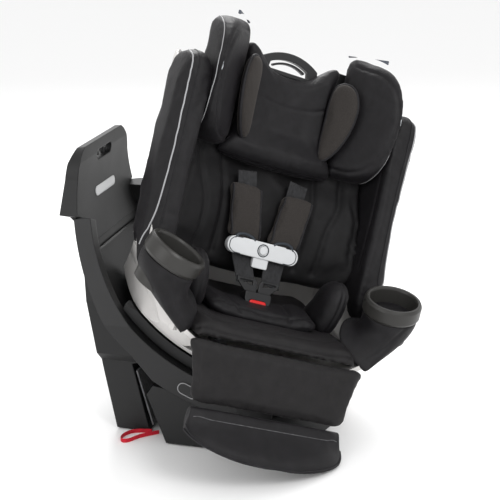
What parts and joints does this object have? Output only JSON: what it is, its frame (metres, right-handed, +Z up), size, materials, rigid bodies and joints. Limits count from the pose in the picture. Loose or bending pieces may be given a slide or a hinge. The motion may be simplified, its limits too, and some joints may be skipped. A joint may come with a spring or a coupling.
{
  "type": "rotating convertible child car seat",
  "caption": "Padded child seat with cup holders, five-point harness and sliding headrest and leg rest, turning and reclining on a rocker-shaped floor base.",
  "frame": {"origin": "on the floor under the middle of the base", "axes": "+Z up, the base's rounded nose faces -Y and its upright stands at +Y, +X to the base's left"},
  "size_m": [0.6594, 0.6401, 0.7674],
  "materials": {
    "charcoal_plastic": "fine matte grain",
    "arm_plastic": "satin",
    "shell_plastic": "satin",
    "cup_plastic": "satin",
    "white_plastic": "smooth",
    "black_plastic": "matte",
    "red_plastic": "smooth",
    "tab_plastic": "satin",
    "steel": "brushed",
    "rubber": "matte",
    "black_fabric": "satin weave",
    "mesh_fabric": "knitted mesh",
    "heather_fabric": "soft heather pile",
    "webbing": "ribbed webbing",
    "grey_webbing": "ribbed webbing",
    "red_webbing": "narrow webbing"
  },
  "bodies": {
    "base": {"base_lower_body": "charcoal_plastic", "base_rear_panel": "charcoal_plastic", "base_side_arm_left": "arm_plastic", "base_side_arm_right": "arm_plastic", "rubber_feet": "rubber", "upright_plate": "white_plastic", "tether_hooks": "black_plastic", "recline_rails": "steel", "recline_rack": "steel", "base_side_badges": "arm_plastic", "lower_anchor_strap": "grey_webbing", "release_pull_loop": "red_webbing"},
    "cradle": {"cradle_sled": "charcoal_plastic", "lower_turntable_ring": "steel", "turntable_balls": "steel", "hub_pivot_bolt": "steel"},
    "recline_lever": {"recline_lever": "black_plastic"},
    "recline_lock_bolt": {"recline_lock_bolt": "steel"},
    "seat": {"upper_turntable_ring": "steel", "seat_shell_lower": "shell_plastic", "seat_shell_back": "shell_plastic", "cup_holder_left": "cup_plastic", "cup_holder_right": "cup_plastic", "side_pod_left": "black_fabric", "side_pod_right": "black_fabric", "seat_cushion": "black_fabric", "insert_cushion": "mesh_fabric", "back_cushion": "black_fabric", "torso_bolster_left": "black_fabric", "torso_bolster_right": "black_fabric", "hip_pad_left": "black_fabric", "hip_pad_right": "black_fabric", "harness_strap_left": "webbing", "harness_strap_right": "webbing", "shoulder_pad_left": "heather_fabric", "shoulder_pad_right": "heather_fabric", "chest_clip": "white_plastic", "buckle_body": "black_plastic", "buckle_tongues": "black_plastic", "crotch_strap": "webbing"},
    "turn_release_left": {"turn_release_left": "shell_plastic"},
    "turn_release_right": {"turn_release_right": "shell_plastic"},
    "buckle_button": {"buckle_button": "red_plastic"},
    "chest_clip_button": {"chest_clip_button": "white_plastic"},
    "headrest": {"head_wing_left": "black_fabric", "head_wing_right": "black_fabric", "head_cushion": "black_fabric", "head_pillow_left": "heather_fabric", "head_pillow_right": "heather_fabric", "headrest_shell": "charcoal_plastic", "headrest_handle": "arm_plastic", "headrest_slide_rails": "charcoal_plastic", "headrest_side_tabs": "tab_plastic"},
    "headrest_trigger": {"headrest_trigger": "black_plastic"},
    "leg_rest": {"leg_rest_panel": "mesh_fabric", "leg_rest_lip": "black_fabric", "leg_rest_frame": "charcoal_plastic", "leg_rest_bars": "steel"}
  },
  "joints": [
    {"name": "recline", "type": "hinge", "parent": "base", "child": "cradle", "pos_m": [0, -0.086, 0.457], "axis": [1, 0, 0], "range_deg": [-22, 0]},
    {"name": "recline_lever_pull", "type": "slide", "parent": "cradle", "child": "recline_lever", "axis": [0, -0.9092, -0.4163], "range_m": [0, 0.012], "stiffness_N_per_m": 600, "springref_m": -0.002},
    {"name": "recline_lock_lift", "type": "slide", "parent": "cradle", "child": "recline_lock_bolt", "axis": [0, -0.4163, 0.9092], "range_m": [0, 0.004]},
    {"name": "seat_rotation", "type": "hinge", "parent": "cradle", "child": "seat", "pos_m": [0, 0.0597, 0.13877], "axis": [0, -0.4163, 0.9092], "range_deg": [-39, 151]},
    {"name": "turn_release_left_press", "type": "slide", "parent": "seat", "child": "turn_release_left", "axis": [-0.0857, 0.9059, 0.4147], "range_m": [0, 0.005], "stiffness_N_per_m": 900, "springref_m": -0.002},
    {"name": "turn_release_right_press", "type": "slide", "parent": "seat", "child": "turn_release_right", "axis": [0.8948, -0.406, -0.1859], "range_m": [0, 0.005], "stiffness_N_per_m": 900, "springref_m": -0.002},
    {"name": "buckle_button_press", "type": "slide", "parent": "seat", "child": "buckle_button", "axis": [0.6517, 0.659, -0.3754], "range_m": [0, 0.0035], "stiffness_N_per_m": 900, "springref_m": -0.002},
    {"name": "chest_clip_button_press", "type": "slide", "parent": "seat", "child": "chest_clip_button", "axis": [0.7303, 0.6467, -0.2203], "range_m": [0, 0.003], "stiffness_N_per_m": 900, "springref_m": -0.002},
    {"name": "headrest_height", "type": "slide", "parent": "seat", "child": "headrest", "axis": [0.3883, -0.1276, 0.9127], "range_m": [-0.035, 0.12]},
    {"name": "headrest_trigger_squeeze", "type": "slide", "parent": "headrest", "child": "headrest_trigger", "axis": [0.3883, -0.1276, 0.9127], "range_m": [0, 0.004], "stiffness_N_per_m": 900, "springref_m": -0.002},
    {"name": "leg_rest_extend", "type": "slide", "parent": "seat", "child": "leg_rest", "axis": [-0.7989, -0.6014, 0.0093], "range_m": [0, 0.075]}
  ],
  "couplings": [
    {"joint": "recline_lock_lift", "follows": "recline_lever_pull", "ratio": 0.33333}
  ]
}
